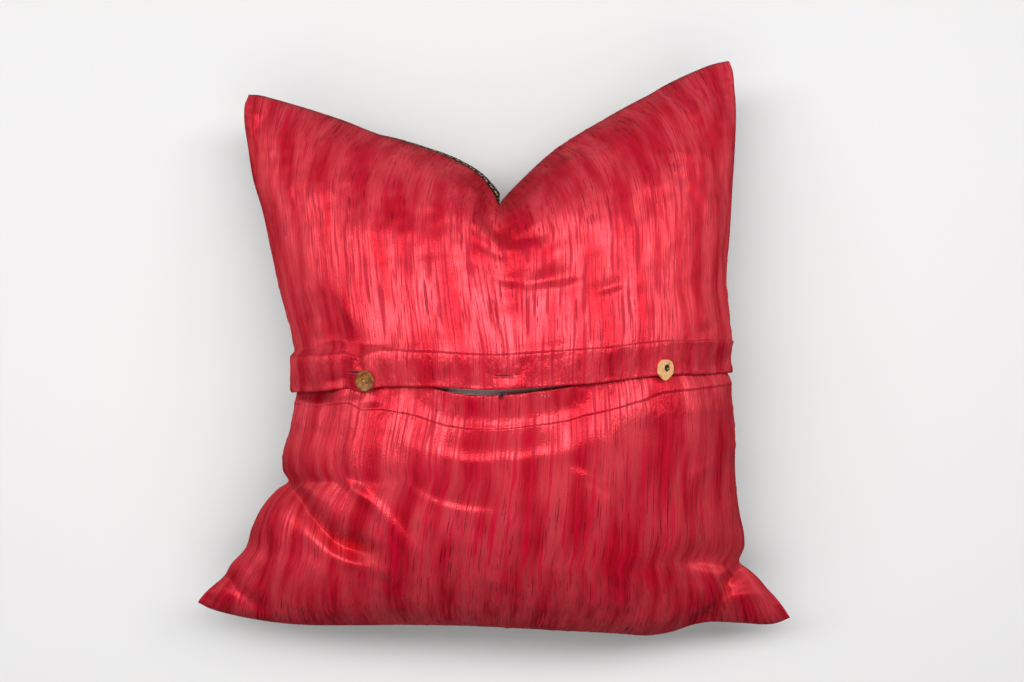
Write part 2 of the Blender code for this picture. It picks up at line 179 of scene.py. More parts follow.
def cut_lengths(u, v):
    """Lengths on the flat cut cloth: across, up, and to the nearest of the four seams."""
    across = u * CUT_HALF
    up = np.where(v > 0, v * CUT_ABOVE, v * CUT_BELOW)
    to_seam = np.minimum(np.minimum(CUT_HALF - across, CUT_HALF + across),
                         np.minimum(CUT_ABOVE - up, CUT_BELOW + up))
    return across, up, np.maximum(to_seam, 0.0)


def plan(u, v):
    """Where the eye sees a point of the cloth. u runs across and v up the cover as it was cut,
    from -1 to 1. The cloth that turns down to a seam is foreshortened, so the shares p and q
    lean towards a sine of u and v in the middle of each side. Returns the place, p and q."""
    p = u + 0.9 * (1 - v**2) * (np.sin(np.pi * u / 2) - u)
    q = v + 0.8 * (1 - u**2) * (np.sin(np.pi * v / 2) - v)
    place = loft(p, q)
    one = np.ones_like(p)
    left = side_edge(LEFT_ABOVE, LEFT_BELOW, q) - loft(-one, q)
    right = side_edge(RIGHT_ABOVE, RIGHT_BELOW, q) - loft(one, q)
    place = place + left * (((1 - p) / 2) ** 3)[..., None] + right * (((1 + p) / 2) ** 3)[..., None]
    across, up, _ = cut_lengths(u, v)
    for side, end, _, drawn in EARS:
        reach_up = CUT_ABOVE - up if end > 0 else CUT_BELOW + up
        near = np.exp(-((CUT_HALF - side * across) ** 2 + reach_up ** 2) / TIP_REACH ** 2)
        place = place - near[..., None] * drawn * np.array([side, end])
    return place, p, q


def seam_height(p, q):
    """Height of the seams' surface: level, less each ear's droop times a power of its nearness."""
    height = np.full_like(p, SEAM_HEIGHT)
    for side, end, droop, _ in EARS:
        height -= droop * (((1 + side * p) / 2) * ((1 + end * q) / 2)) ** EAR_POWER
    return height


def crown(p, q, high, settle=0.08):
    """Rise of a filled panel over its seams: the root of 1 less a power of the share each way,
    flat in the middle and round towards a seam, and fullest a little below the middle. Under the
    chopped edge the power is higher, so the cloth stays flat until it turns down."""
    across = np.clip(1 - np.abs(p) ** 2.5, 0, 1) ** 0.5
    power = 3 + CHOP_POWER * np.clip(1 - 1.6 * np.abs(p), 0, 1) ** 2
    up = np.where(q > 0, np.clip(1 - np.abs(q) ** power, 0, 1) ** 0.56,
                  np.clip(1 - np.abs(q) ** 2.7, 0, 1) ** 0.5)
    return high * across * up * (1 - settle * q)


def ripples(x, y, length, seed, count=18):
    """Soft random relief of about -1 to 1: sine waves in seeded directions, whose lengths
    spread round the given one, added up and divided by the root of their number."""
    draw = np.random.default_rng(seed)
    angle = draw.uniform(0, 2 * np.pi, count)
    wave = 2 * np.pi / (length * draw.uniform(0.65, 1.7, count))
    start = draw.uniform(0, 2 * np.pi, count)
    total = np.zeros(np.broadcast(x, y).shape)
    for way, turn, shift in zip(angle, wave, start):
        total += np.sin((x * np.cos(way) + y * np.sin(way)) * turn + shift)
    return total / np.sqrt(count)


def seam_roll(u, v, seen, near):
    """Shift of the cloth where the seam rolls to the back: towards the inside, square to the
    seam, dying away with the square of the distance to the seam over a given length."""
    across, up, _ = cut_lengths(u, v)
    gap = {"top": CUT_ABOVE - up, "left": CUT_HALF + across, "right": CUT_HALF - across}
    place = {"top": u, "left": v, "right": v}
    run_up = np.gradient(seen, axis=0)
    run_across = np.gradient(seen, axis=1)
    out = {"top": run_up, "left": -run_across, "right": run_across}
    shift = np.zeros_like(seen)
    for edge, start, end, far in SEAM_ROLLS:
        inside = ease((place[edge] - start) / 0.22) * ease((end - place[edge]) / 0.08)
        shift -= unit(out[edge]) * (far * inside * near(gap[edge]))[..., None]
    return shift


def lines(count, gather=0.55):
    """Shares from -1 to 1, set closer towards both ends."""
    even = np.linspace(-1, 1, count + 1)
    return (1 - gather) * even + gather * np.sin(np.pi * even / 2)


def grid_normals(points):
    """Upward normals of a grid whose rows run up the cover and whose columns run across: the
    cross product of its steps along a row and along a column."""
    return unit(np.cross(np.gradient(points, axis=1), np.gradient(points, axis=0)))


def under_eye(seen, height, level):
    """Points at given heights, whose places the eye would see at given places of the seams' plane
    if they were at a given level: the place drawn towards the eye by the level's share of the
    eye's own height."""
    near = (1 - (level - SEAM_HEIGHT) / EYE_HEIGHT)[..., None]
    return np.concatenate([EYE + (seen - EYE) * near, height[..., None]], axis=-1)


def front_surface(u, v):
    """Outer face of the front panel, and its normals, which point up into the cover. The crown
    hangs below the seams, and its lowest part is pressed flat: its height over the surface is
    multiplied by 1 less a falling exponential of itself."""
    seen, p, q = plan(u, v)
    across, up, to_seam = cut_lengths(u, v)
    seen = seen + seam_roll(u, v, seen, lambda gap: np.exp(-(gap / 6.0) ** 2)
                            - 1.5 * np.exp(-((gap - 17.0) / 13.0) ** 2))
    seam = seam_height(p, q)
    height = seam - CLEAR / 2 - crown(p, q, FRONT_CROWN, 0.0) - 2.0
    height = np.clip(height, 0, None)
    height = height * (1 - np.exp(-height / FRONT_PRESS))
    lumps = sum(high * ripples(across, up, long, 3 + k) for k, (high, long) in enumerate(FRONT_LUMPS))
    height = height + lumps * ease(height / 30.0) * ease(to_seam / 20.0)
    height = np.where(to_seam < 1e-6, seam - CLEAR / 2 - 0.4, height)
    points = under_eye(seen, height, seam)
    return points, grid_normals(points)


def sheet_mesh(name, upper, lower, u, v):
    """A closed sheet from two grids of points: the upper face, the lower face turned over, and a
    wall round their rims. Its UV map "cloth" is each point's place on the flat cut cloth."""
    rows, columns = upper.shape[:2]
    count = rows * columns
    index = np.arange(count).reshape(rows, columns)
    top = np.stack([index[:-1, :-1], index[:-1, 1:], index[1:, 1:], index[1:, :-1]], axis=-1)
    top = top.reshape(-1, 4)
    rim = np.concatenate([index[0, :-1], index[:-1, -1], index[-1, :0:-1], index[:0:-1, 0]])
    after = np.roll(rim, -1)
    wall = np.stack([rim, rim + count, after + count, after], axis=-1)
    faces = np.concatenate([top, top[:, ::-1] + count, wall])
    points = np.concatenate([upper.reshape(-1, 3), lower.reshape(-1, 3)])
    cut = np.stack(cut_lengths(u, v)[:2], axis=-1).reshape(-1, 2)
    return solid_mesh(name, points, faces, np.concatenate([cut] * 2))


def solid_mesh(name, points, faces, cut=None):
    """An object at the origin from points in millimetres and four-cornered faces, with its
    corners' places on the cut cloth if they are given."""
    mesh = bpy.data.meshes.new(name)
    mesh.vertices.add(len(points))
    mesh.vertices.foreach_set("co", ((points - MIDDLE) * MM).ravel())
    mesh.loops.add(faces.size)
    mesh.loops.foreach_set("vertex_index", faces.ravel())
    mesh.polygons.add(len(faces))
    mesh.polygons.foreach_set("loop_start", np.arange(len(faces)) * 4)
    if cut is not None:
        mesh.uv_layers.new(name="cloth").data.foreach_set("uv", (cut[faces.ravel()] * MM).ravel())
    mesh.update(calc_edges=True)
    mesh.validate()
    mesh.shade_smooth()
    piece = bpy.data.objects.new(name, mesh)
    bpy.context.collection.objects.link(piece)
    return piece


def joined(piece, finish, replaced=None):
    """Gives a finished piece its material, its body and the solid that it replaces."""
    piece.data.materials.append(finish)
    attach(piece, "root")
    if replaced:
        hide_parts(replaced)


def linear(colour):
    """A hex sRGB colour as linear values."""
    value = np.array([int(colour[k:k + 2], 16) for k in (1, 3, 5)]) / 255
    value = np.where(value <= 0.04045, value / 12.92, ((value + 0.055) / 1.055) ** 2.4)
    return (*value.tolist(), 1.0)


def new_finish(name):
    """An empty material with its node tree, its shader and its output joined."""
    finish = bpy.data.materials.new(name)
    finish.use_nodes = True
    tree = finish.node_tree
    return finish, tree, tree.nodes["Principled BSDF"]


def feed(tree, node, inputs):
    """Sets a node's inputs, given as values or as sockets to link."""
    for key, value in inputs.items():
        if isinstance(value, bpy.types.NodeSocket):
            tree.links.new(value, node.inputs[key])
        else:
            node.inputs[key].default_value = value


def add_node(tree, kind, settings=None, inputs=None, stops=None):
    """A node with its settings, its inputs and a ramp's stops."""
    node = tree.nodes.new(kind)
    for name, value in (settings or {}).items():
        setattr(node, name, value)
    feed(tree, node, inputs or {})
    if stops:
        ramp = node.color_ramp
        while len(ramp.elements) < len(stops):
            ramp.elements.new(0.5)
        for element, (position, colour) in zip(ramp.elements, stops):
            element.position = position
            element.color = colour if isinstance(colour, tuple) else (colour, colour, colour, 1.0)
    return node


def cut_cloth(tree):
    """Places on the cut cloth, in metres."""
    return add_node(tree, "ShaderNodeUVMap", {"uv_map": "cloth"}).outputs[0]


def scaled(tree, place, *steps):
    """Places counted in steps of so many millimetres across, up and, in a solid, out."""
    scale = [1 / (step * MM) for step in steps]
    return add_node(tree, "ShaderNodeMapping", inputs={
        "Vector": place, "Scale": (*scale, 1.0)[:3]}).outputs[0]


def pattern(tree, place, wide, long, detail=2.0):
    """A soft random pattern whose grain is so many millimetres wide and long on the cut cloth."""
    return add_node(tree, "ShaderNodeTexNoise", {"noise_dimensions": "2D"}, {
        "Vector": scaled(tree, place, wide, long), "Scale": 1.0, "Detail": detail}).outputs[0]


def in_solid(tree):
    """Places in the object, in metres."""
    return add_node(tree, "ShaderNodeTexCoord").outputs["Object"]


def specks(tree, size, detail=2.0):
    """A soft random pattern through a solid, whose grain is so many millimetres."""
    return add_node(tree, "ShaderNodeTexNoise", inputs={
        "Vector": in_solid(tree), "Scale": 1 / (size * MM), "Detail": detail}).outputs[0]


def share_of(tree, value, start, end, most=1.0):
    """A value's eased share of the way from start to end, up to a given most."""
    return add_node(tree, "ShaderNodeMapRange", {"interpolation_type": "SMOOTHSTEP"}, {
        "Value": value, "From Min": start, "From Max": end, "To Max": most}).outputs[0]


def combined(tree, operation, first, second):
    """Two values joined by a sum, a product or the like."""
    return add_node(tree, "ShaderNodeMath", {"operation": operation}, {
        0: first, 1: second}).outputs[0]


def mixed(tree, share, first, second):
    """Two colours, as hex or as sockets, mixed by a share of the second."""
    first, second = (linear(colour) if isinstance(colour, str) else colour
                     for colour in (first, second))
    return add_node(tree, "ShaderNodeMix", {"data_type": "RGBA"}, {
        0: share, 6: first, 7: second}).outputs[2]


def bumped(tree, height, strength, depth):
    """Normals raised by a height whose depth is so many millimetres."""
    return add_node(tree, "ShaderNodeBump", inputs={
        "Strength": strength, "Distance": depth * MM, "Height": height}).outputs[0]


# Hand-woven cotton and wool, dull and coarse: the flecks are short floats of undyed yarn, and the
# weave's ribs are drawn 1.6 mm apart, twice as coarse as they are, to show at all.
FRONT_GROUND = ("#2a0e0a", "#4a2018")
FRONT_FLECK = "#d9c9ae"
FLECK_STEP = 10.0
WEAVE_STEP = 1.6
front_finish, tree, shader = new_finish("hand_woven_flecked_cloth")
cut_place = cut_cloth(tree)
ground = add_node(tree, "ShaderNodeValToRGB", inputs={
    "Fac": pattern(tree, cut_place, 3.0, 40.0)}, stops=[
    (0.3, linear(FRONT_GROUND[0])), (0.7, linear(FRONT_GROUND[1]))]).outputs[0]
flecks = add_node(tree, "ShaderNodeTexBrick", {"offset": 0.5, "offset_frequency": 2}, {
    "Vector": scaled(tree, cut_place, FLECK_STEP, FLECK_STEP), "Scale": 1.0,
    "Color1": (1, 1, 1, 1), "Color2": (0.8, 0.8, 0.8, 1), "Mortar": (0, 0, 0, 1),
    "Mortar Size": 0.16, "Mortar Smooth": 0.3, "Brick Width": 1.0, "Row Height": 0.45}).outputs[0]
worn = add_node(tree, "ShaderNodeValToRGB", inputs={
    "Fac": pattern(tree, cut_place, 2.2, 2.2)}, stops=[(0.42, 0.0), (0.55, 1.0)]).outputs[0]
weave = add_node(tree, "ShaderNodeTexChecker", inputs={
    "Vector": scaled(tree, cut_place, WEAVE_STEP, WEAVE_STEP), "Scale": 1.0}).outputs[1]
feed(tree, shader, {
    "Base Color": mixed(tree, combined(tree, "MULTIPLY", flecks, worn), ground, FRONT_FLECK),
    "Roughness": 1.0, "Specular IOR Level": 0.1, "Normal": bumped(tree, weave, 0.7, 0.6)})

front_u, front_v = np.meshgrid(lines(FRONT_MESH[0]), lines(FRONT_MESH[1], ROW_GATHER))
front_face, front_normal = front_surface(front_u, front_v)
front_thick = CLOTH * (0.35 + 0.65 * ease(cut_lengths(front_u, front_v)[2] / SEAM_PRESS))
front_cloth = sheet_mesh("front_cloth", front_face + front_normal * front_thick[..., None],
                         front_face, front_u, front_v)
joined(front_cloth, front_finish, "front_panel")


# Insert. A plain white cotton case, filled and closed, which the cover is buttoned over. It shows
# only as a sliver in the slack opening between the buttons.
BACK_CROWN = 138.0      # of the buttoned side above the seams
INSERT_REACH = 0.955    # share of the cut cover that the insert fills
NOTCH_EASE = 0.42       # share of it that the insert keeps below the chopped edge
INSERT_EASE = 3.0       # between the insert and the cloth over it
INSERT_OPEN = (-108.0, 55.0, 90.0, 40.0)        # where its sinking under the flap starts and ends
GAP_MIDDLE = 12.0       # x of the slack middle of the opening
GAP_HALF = 165.0        # half the length over which the hem is slack
GAP_SAG = 16.0          # how deep the slack hem drops into the opening
GAP_REACH = (28.0, 72.0)        # how far below its edge the hem's slack is greatest, and is gone
GAP_EDGE = 0.45         # share of the slack that the hem's edge is spared
HEM = 3.0               # the folded hem bands along the opening
INSERT_MESH = (110, 110)

# Folds: the route; the depth, which is negative for a ridge, with the width left and right of the
# route; the shares of the route over which it fades in and out; and for some, how far one side
# stays down as a step (the left one if it is negative), the length over which the step dies
# away, and the width of its slope
UPPER_FOLDS = {
    "notch": ([(-8, 182), (-11, 150), (-9, 127), (2, 117), (16, 109), (32, 109), (62, 116)],
              (3, 8, 4), (0, 0.45), (-22, 40, 7)),
    "under_notch": ([(-14, 86), (4, 75), (30, 68), (60, 70), (111, 78)], (5, 20, 6), (0.3, 0.35)),
    "beside_notch": ([(100, 55), (122, 62), (149, 69)], (2.4, 9, 4), (0.4, 0.4)),
    "left_smudge": ([(-96, 104), (-60, 98), (-30, 104)], (1.5, 12, 7), (0.4, 0.4)),
    "top_left_tip": ([(-224, 259), (-236, 242), (-251, 222)], (2.8, 5, 5), (0.2, 0.3)),
    "top_left_ridge": ([(-240, 262), (-247, 247), (-254, 236)], (-2, 4, 4), (0.3, 0.3)),
    "top_right_tip": ([(218, 278), (234, 260), (245, 244)], (2.8, 5, 6), (0.2, 0.3)),
    "right_dent": ([(246, 96), (233, 74), (226, 58)], (2.6, 8, 6), (0.2, 0.4)),
    "right_dent_low": ([(236, 34), (220, 18), (206, 12)], (2.4, 7, 6), (0.3, 0.4)),
    "left_dent": ([(-208, 20), (-202, 2), (-190, -8)], (2.4, 7, 7), (0.2, 0.4)),
    "button_dimple": ([(-138, -18), (-128, -17)], (3, 4, 4), (0.3, 0.3)),
    "button_pull": ([(-176, -37), (-158, -33), (-143, -27)], (2.6, 5, 7), (0.4, 0.3)),
    "over_left_button": ([(-198, 3), (-150, 7), (-120, 1), (-84, -2)], (3, 15, 5), (0.3, 0.4)),
}
LOWER_FOLDS = {
    "flap_end": ([(-212, -50), (-195, -51), (-178, -50), (-158, -46)], (20, 14, 6), (0, 0.35)),
    "button_puckers": ([(-180, -62), (-158, -58), (-140, -57), (-118, -60)], (2.4, 5, 8), (0.4, 0.4)),
    "left_lobe": ([(-222, -137), (-210, -144), (-184, -175), (-159, -201), (-104, -213)],
                  (11, 7, 14), (0, 0.3), (24, 48, 13)),
    "lobe_lip": ([(-200, -182), (-182, -205), (-158, -222), (-118, -234), (-92, -236)],
                 (-3.6, 6, 8), (0.25, 0.35)),
    "left_ear": ([(-277, -243), (-262, -257), (-237, -272), (-218, -273)], (9, 6, 8), (0, 0.4)),
    "left_tip": ([(-300, -261), (-285, -274)], (2.5, 4, 4), (0, 0.4)),
    "right_ear": ([(262, -224), (250, -236), (242, -247), (240, -257), (236, -269), (222, -277),
                   (196, -291)], (8, 9, 4), (0, 0.3), (-21, 40, 12)),
    "right_ear_ridge": ([(220, -283), (240, -272), (256, -262), (289, -260)], (-5, 5, 8), (0.3, 0.3)),
    "right_body": ([(262, -214), (218, -219), (188, -230)], (9, 12, 13), (0.1, 0.4)),
    "long_ridge": ([(-176, -124), (-109, -180), (-71, -234)], (-3, 5, 4), (0.3, 0.25)),
    "second_ridge": ([(-159, -133), (-75, -222)], (-1.6, 4, 5), (0.3, 0.3)),
    "lower_crease": ([(-92, -133), (-67, -154), (-33, -165), (17, -169)], (2.4, 9, 4), (0.3, 0.35)),
    "upright_crease": ([(5, -108), (15, -133), (19, -171), (24, -196)], (2, 4, 7), (0.3, 0.4)),
    "right_crease": ([(73, -117), (128, -142)], (2, 8, 5), (0.35, 0.4)),
    "right_crease_low": ([(94, -133), (132, -163)], (2.2, 8, 5), (0.35, 0.4)),
    "far_right_ridge": ([(199, -142), (241, -117)], (-2, 7, 8), (0.35, 0.35)),
}


def route_distance(place, route):
    """Signed distance from a fold's route (left is positive) and the share of its length: the
    least over the short straight runs of the route's smooth curve."""
    curve, share = smooth_curve(route, 48)
    start, run = curve[:-1], np.diff(curve, axis=0)
    offset = place[..., None, :] - start
    f = np.clip((offset * run).sum(-1) / (run * run).sum(-1), 0, 1)
    gap = offset - f[..., None] * run
    far = np.linalg.norm(gap, axis=-1)
    nearest = far.argmin(-1)[..., None]
    side = run[:, 0] * offset[..., 1] - run[:, 1] * offset[..., 0]
    sign = np.where(np.take_along_axis(side, nearest, -1)[..., 0] >= 0, 1.0, -1.0)
    at = np.take_along_axis(share[:-1] + f * np.diff(share), nearest, -1)[..., 0]
    return np.take_along_axis(far, nearest, -1)[..., 0] * sign, at


def fold_drop(place, folds):
    """How far all folds lower the cloth: a bell-shaped trough along each route, whose depth
    fades at its ends, and a step on one side that dies away exponentially."""
    drop = np.zeros(place.shape[:-1])
    for route, (depth, left, right), (start, end), *steps in folds.values():
        far, at = route_distance(place, route)
        strong = (ease(at / start) if start else 1.0) * ease((1 - at) / end)
        drop += strong * depth * np.exp(-(far / np.where(far > 0, left, right)) ** 2)
        for step, reach, slope in steps:
            down = -far * np.sign(step)
            drop += (strong * abs(step) * ease(0.5 + down / slope)
                     * np.exp(-np.clip(down, 0, None) / reach))
    return drop


def back_surface(u, v, folds):
    """Inside face of the buttoned side, its normals, and the eye's view of each point. The height
    is the seams' plus the crown, less the folds, which never take more than three quarters."""
    seen, p, q = plan(u, v)
    rise = crown(p, q, BACK_CROWN)
    left_over = 1 - fold_drop(seen, folds) / np.maximum(rise, 1.0)
    rise = rise * np.maximum(left_over, 0.25 + 0.1 * np.tanh(left_over))
    height = seam_height(p, q) + CLEAR / 2 + rise
    seen = seen + seam_roll(u, v, seen, lambda gap: np.exp(-(gap / 22.0) ** 2))
    points = under_eye(seen, height, height)
    return points, grid_normals(points), seen


def over_flap_edge(seen):
    """How far a point is above the flap's edge."""
    edge, _ = smooth_curve(FLAP_EDGE)
    return seen[..., 1] - np.interp(seen[..., 0], edge[:, 0], edge[:, 1])


def lowest_near(height, reach):
    """The least height among a grid's neighbours up to so many cells away each way."""
    least = height.copy()
    for axis in (0, 1):
        source = least.copy()
        for step in range(-reach, reach + 1):
            at = np.clip(np.arange(height.shape[axis]) + step, 0, height.shape[axis] - 1)
            least = np.minimum(least, np.take(source, at, axis=axis))
    return least


insert_u, insert_v = np.meshgrid(lines(INSERT_MESH[0]) * INSERT_REACH,
                                 lines(INSERT_MESH[1], ROW_GATHER) * INSERT_REACH)
insert_v = insert_v - NOTCH_EASE * ease(insert_v) * (1 - np.abs(insert_u)) ** 2
insert_top, insert_normal, insert_seen = back_surface(insert_u, insert_v,
                                                      {**UPPER_FOLDS, **LOWER_FOLDS})
insert_over = over_flap_edge(insert_seen)
open_from, open_rise, open_to, open_fall = INSERT_OPEN
insert_open = ease((insert_over - open_from) / open_rise) * ease((open_to - insert_over) / open_fall)
insert_slack = ease(1 - np.abs(insert_seen[..., 0] - GAP_MIDDLE) / (GAP_HALF * 1.2))
insert_slack = insert_slack * (0.6 + 0.5 * ease(-insert_over / 25.0))
insert_drop = INSERT_EASE + insert_open * (HEM + GAP_SAG * insert_slack)
insert_top = insert_top - insert_normal * insert_drop[..., None]
insert_top[..., 2] = lowest_near(insert_top[..., 2], 3)
insert_low, insert_low_normal = front_surface(insert_u, insert_v)
insert_low = insert_low + insert_low_normal * (CLOTH + 2 * CLEAR)
insert = sheet_mesh("insert_case", insert_top, insert_low, insert_u, insert_v)

# Plain-woven cotton, soft and matt. Its threads, drawn 0.9 mm apart where they really are 0.4,
# give it a faint grain.
COTTON = ("#e9e4e2", "#f4f1ee")
COTTON_THREAD = 0.9
cotton_finish, tree, shader = new_finish("plain_white_cotton")
cut_place = cut_cloth(tree)
cotton_colour = add_node(tree, "ShaderNodeValToRGB", inputs={
    "Fac": pattern(tree, cut_place, 20.0, 20.0, 3.0)}, stops=[
    (0.3, linear(COTTON[0])), (0.7, linear(COTTON[1]))]).outputs[0]
cotton_grain = pattern(tree, cut_place, COTTON_THREAD, COTTON_THREAD)
feed(tree, shader, {"Base Color": cotton_colour, "Roughness": 0.9,
                    "Normal": bumped(tree, cotton_grain, 0.4, 0.4)})
joined(insert, cotton_finish, "insert")


# Lower back panel. Slubbed silk satin, cut from the bottom seam to 25 mm under the flap, with a
# 37 mm hem folded and stitched along its top. Its hem hangs slack between the buttons.
HEM_WIDTH = 37.0
BACK_COLUMNS = 250
LOWER_ROWS = 105
LOWER_SEED = 20

# Top edge of the lower panel's hem: x, and how far it reaches under the flap (less than 0 shows)
HEM_EDGE = [(-215, 25), (-150, 21), (-117, 13), (-83, 6), (-64, 0), (-49, -4), (-28, -6),
            (5, -5.5), (33, -4.5), (62, -3), (82, -1), (97, 3), (140, 9), (163, 13), (178, 18),
            (250, 25)]
# Distances from a hem's free edge to its mesh rows: close at the fold and at the stitches
HEM_ROWS = np.array([0.0, 0.25, 0.7, 1.4, 2.4, 3.8, 5.6, 7.7, 9.9, 12.1, 14.3, 16.5, 18.7, 20.9,
                     23.1, 25.3, 27.5, 29.7, 31.8, 33.6, 34.9, 35.8, 36.4, 37.0, 37.6, 38.2, 39.1,
                     40.4, 42.2, 44.4])

# Where v is looked for along the hems, and the unevenness of the satin: heights and lengths of the
# filling's lumps and of the puckers at the seams, in the hem and along its row of stitches, and
# the depth and width of that row's groove
LOWER_SEARCH = (-0.4, 0.3)
UPPER_SEARCH = (0.0, 0.5)
LUMPS = ((0.9, 75.0), (0.28, 26.0))
SEAM_PUCKER = (0.65, 13.0)
HEM_PUCKER = (0.30, 11.0)
ROW_PUCKER = (0.25, 8.0)
ROW_GROOVE = (0.35, 0.9)


def hem_reach(x):
    """How far the lower panel's hem reaches under the flap."""
    xs, reach = np.array(HEM_EDGE, float).T
    return np.interp(x, xs, reach)


def under_hem_edge(seen):
    """How far a point of the lower panel is below the free edge of its hem."""
    return hem_reach(seen[..., 0]) - over_flap_edge(seen)


def tuck(u):
    """1 where the hem lies within the filled form, and 0 at the side seams, which hold it out."""
    return ease((1 - np.abs(u)) / 0.25)


def hem_sink(u, seen):
    """How far the lower panel lies under the filled form near the opening: a hem's thickness,
    and the slack, which grows from its edge and is gone a little below its row of stitches."""
    across = ease(1 - np.abs(seen[..., 0] - GAP_MIDDLE) / GAP_HALF)
    down = under_hem_edge(seen)
    slack = ease((GAP_REACH[1] - down) / (GAP_REACH[1] - GAP_REACH[0]))
    slack = slack - GAP_EDGE * ease(1 - down / GAP_REACH[0])
    return HEM * tuck(u) * ease((over_flap_edge(seen) + 40.0) / 40.0) + GAP_SAG * across * slack


def cloth_relief(u, v, seen, from_edge, seed):
    """Small unevenness of a satin panel, along its normals: lumps of the filling, puckers that
    run off each seam, and the puckers and sunk stitches of its hem."""
    across, up, to_seam = cut_lengths(u, v)
    lumps = sum(high * ripples(across, up, long, seed + k) for k, (high, long) in enumerate(LUMPS))
    beside = np.where(CUT_HALF - np.abs(across) < to_seam + 1e-6, up, across)
    high, long = SEAM_PUCKER
    pucker = high * ripples(beside, to_seam / 5.0, long, seed + 2) * np.exp(-to_seam / 16.0)
    band = ease((HEM_WIDTH + 4.0 - from_edge) / 8.0) * ease(from_edge / 4.0)
    high, long = HEM_PUCKER
    hem = band * high * ripples(seen[..., 0], seen[..., 1] * 0.45, long, seed + 3)
    high, long = ROW_PUCKER
    hem += high * ripples(seen[..., 0], seen[..., 1] * 0.2, long, seed + 4) * np.exp(
        -((from_edge - HEM_WIDTH) / 9.0) ** 2)
    deep, wide = ROW_GROOVE
    groove = deep * np.exp(-((from_edge - HEM_WIDTH) / wide) ** 2)
    return (lumps + hem - groove) * ease(to_seam / 14.0) + pucker * ease(to_seam / 3.0)


def hem_band(from_edge):
    """1 in a hem, and 0 past its row of stitches."""
    return ease((HEM_WIDTH + 1.5 - from_edge) / 3.0)


def folded_thickness(from_edge, to_seam):
    """Thickness of a panel: one layer, a hem's between its edge and its stitches, round at the
    folded edge like a half circle, and pinched at the seams."""
    thick = CLOTH + (HEM - CLOTH) * hem_band(from_edge)
    edge = np.clip(1 - from_edge / (HEM / 2), 0, 1)
    thick = thick * np.maximum(np.sqrt(1 - edge**2), 0.12)
    return thick * (0.3 + 0.7 * ease(to_seam / SEAM_PRESS))


def row_places(u, offsets, measure, search):
    """The v at which a measure of the cloth's place, which grows with v, has each given value:
    found by halving for a whole grid at once."""
    low = np.full((len(offsets), len(u)), search[0])
    high = np.full_like(low, search[1])
    wide = np.tile(u, (len(offsets), 1))
    for _ in range(26):
        middle = (low + high) / 2
        past = measure(plan(wide, middle)[0]) > offsets[:, None]
        low, high = np.where(past, low, middle), np.where(past, middle, high)
    return (low + high) / 2


def lower_cloth(u, v):
    """Outer and inner face of the lower panel."""
    inside, normal, seen = back_surface(u, v, LOWER_FOLDS)
    from_edge = under_hem_edge(seen)
    relief = cloth_relief(u, v, seen, from_edge, LOWER_SEED)
    thick = folded_thickness(from_edge, cut_lengths(u, v)[2])
    middle = (CLOTH + (HEM - 2 * CLOTH) * hem_band(from_edge)) / 2 - hem_sink(u, seen) + relief
    outer = inside + normal * (middle + thick / 2)[..., None]
    return outer, outer - normal * thick[..., None]


def satin_panel(name, cloth, v, finish, node):
    """One finished satin panel from the v of its mesh rows."""
    u = np.tile(back_across, (len(v), 1))
    piece = sheet_mesh(name, *cloth(u, v), u, v)
    joined(piece, finish, node)
    return piece


back_across = lines(BACK_COLUMNS)
lower_hem_v = row_places(back_across, -HEM_ROWS[::-1], lambda seen: -under_hem_edge(seen),
                         LOWER_SEARCH)
lower_share = (lines(LOWER_ROWS, ROW_GATHER)[:-1, None] + 1) / 2
lower_v = np.concatenate([-1 + (lower_hem_v[0] + 1) * lower_share, lower_hem_v])

# Slubbed silk satin: long floats of dyed silk lie along the warp, so it glows in a band across
# them, and uneven threads of a deeper red stay dull in it. A slub is 3.6 mm wide and runs for 30
# to 80 mm, and the fine threads are drawn 1.7 mm wide where they really are 0.3. The threads
# come out straight because their pattern is some 70 to 120 times longer than it is wide.
SATIN_GROUND = ("#d0142c", "#f44a56")
SATIN_SLUB = "#b4002a"
SATIN_HAIR = "#7c0020"
SATIN_ROUGHNESS = (0.40, 0.72)
SATIN_METAL = (0.54, 0.0)
# Each kind of thread: its width and the length that keeps it straight, then its breaks' size
SLUB = ((3.6, 240.0), (6.0, 54.0))
FINE_THREAD = ((1.7, 140.0), (3.0, 30.0))
HAIR_THREAD = ((1.2, 140.0), (4.0, 20.0))
DYE_CLOUD = (24.0, 120.0)       # widths and lengths of the soft patterns
CROSS_GRAIN = (2.2, 1.1)
CRUMPLE = (5.0, 9.0)
CRUMPLE_DEPTH = 0.8
GRAIN_SHARE = 0.24      # of the crumple's depth that the grain has


def streaks(tree, place, sizes, width, length, most):
    """Broken threads: the product of a share across them and a share along them."""
    across = pattern(tree, place, *sizes[0], 1.0)
    along_them = pattern(tree, place, *sizes[1])
    return combined(tree, "MULTIPLY", share_of(tree, across, *width, most),
                    share_of(tree, along_them, *length))


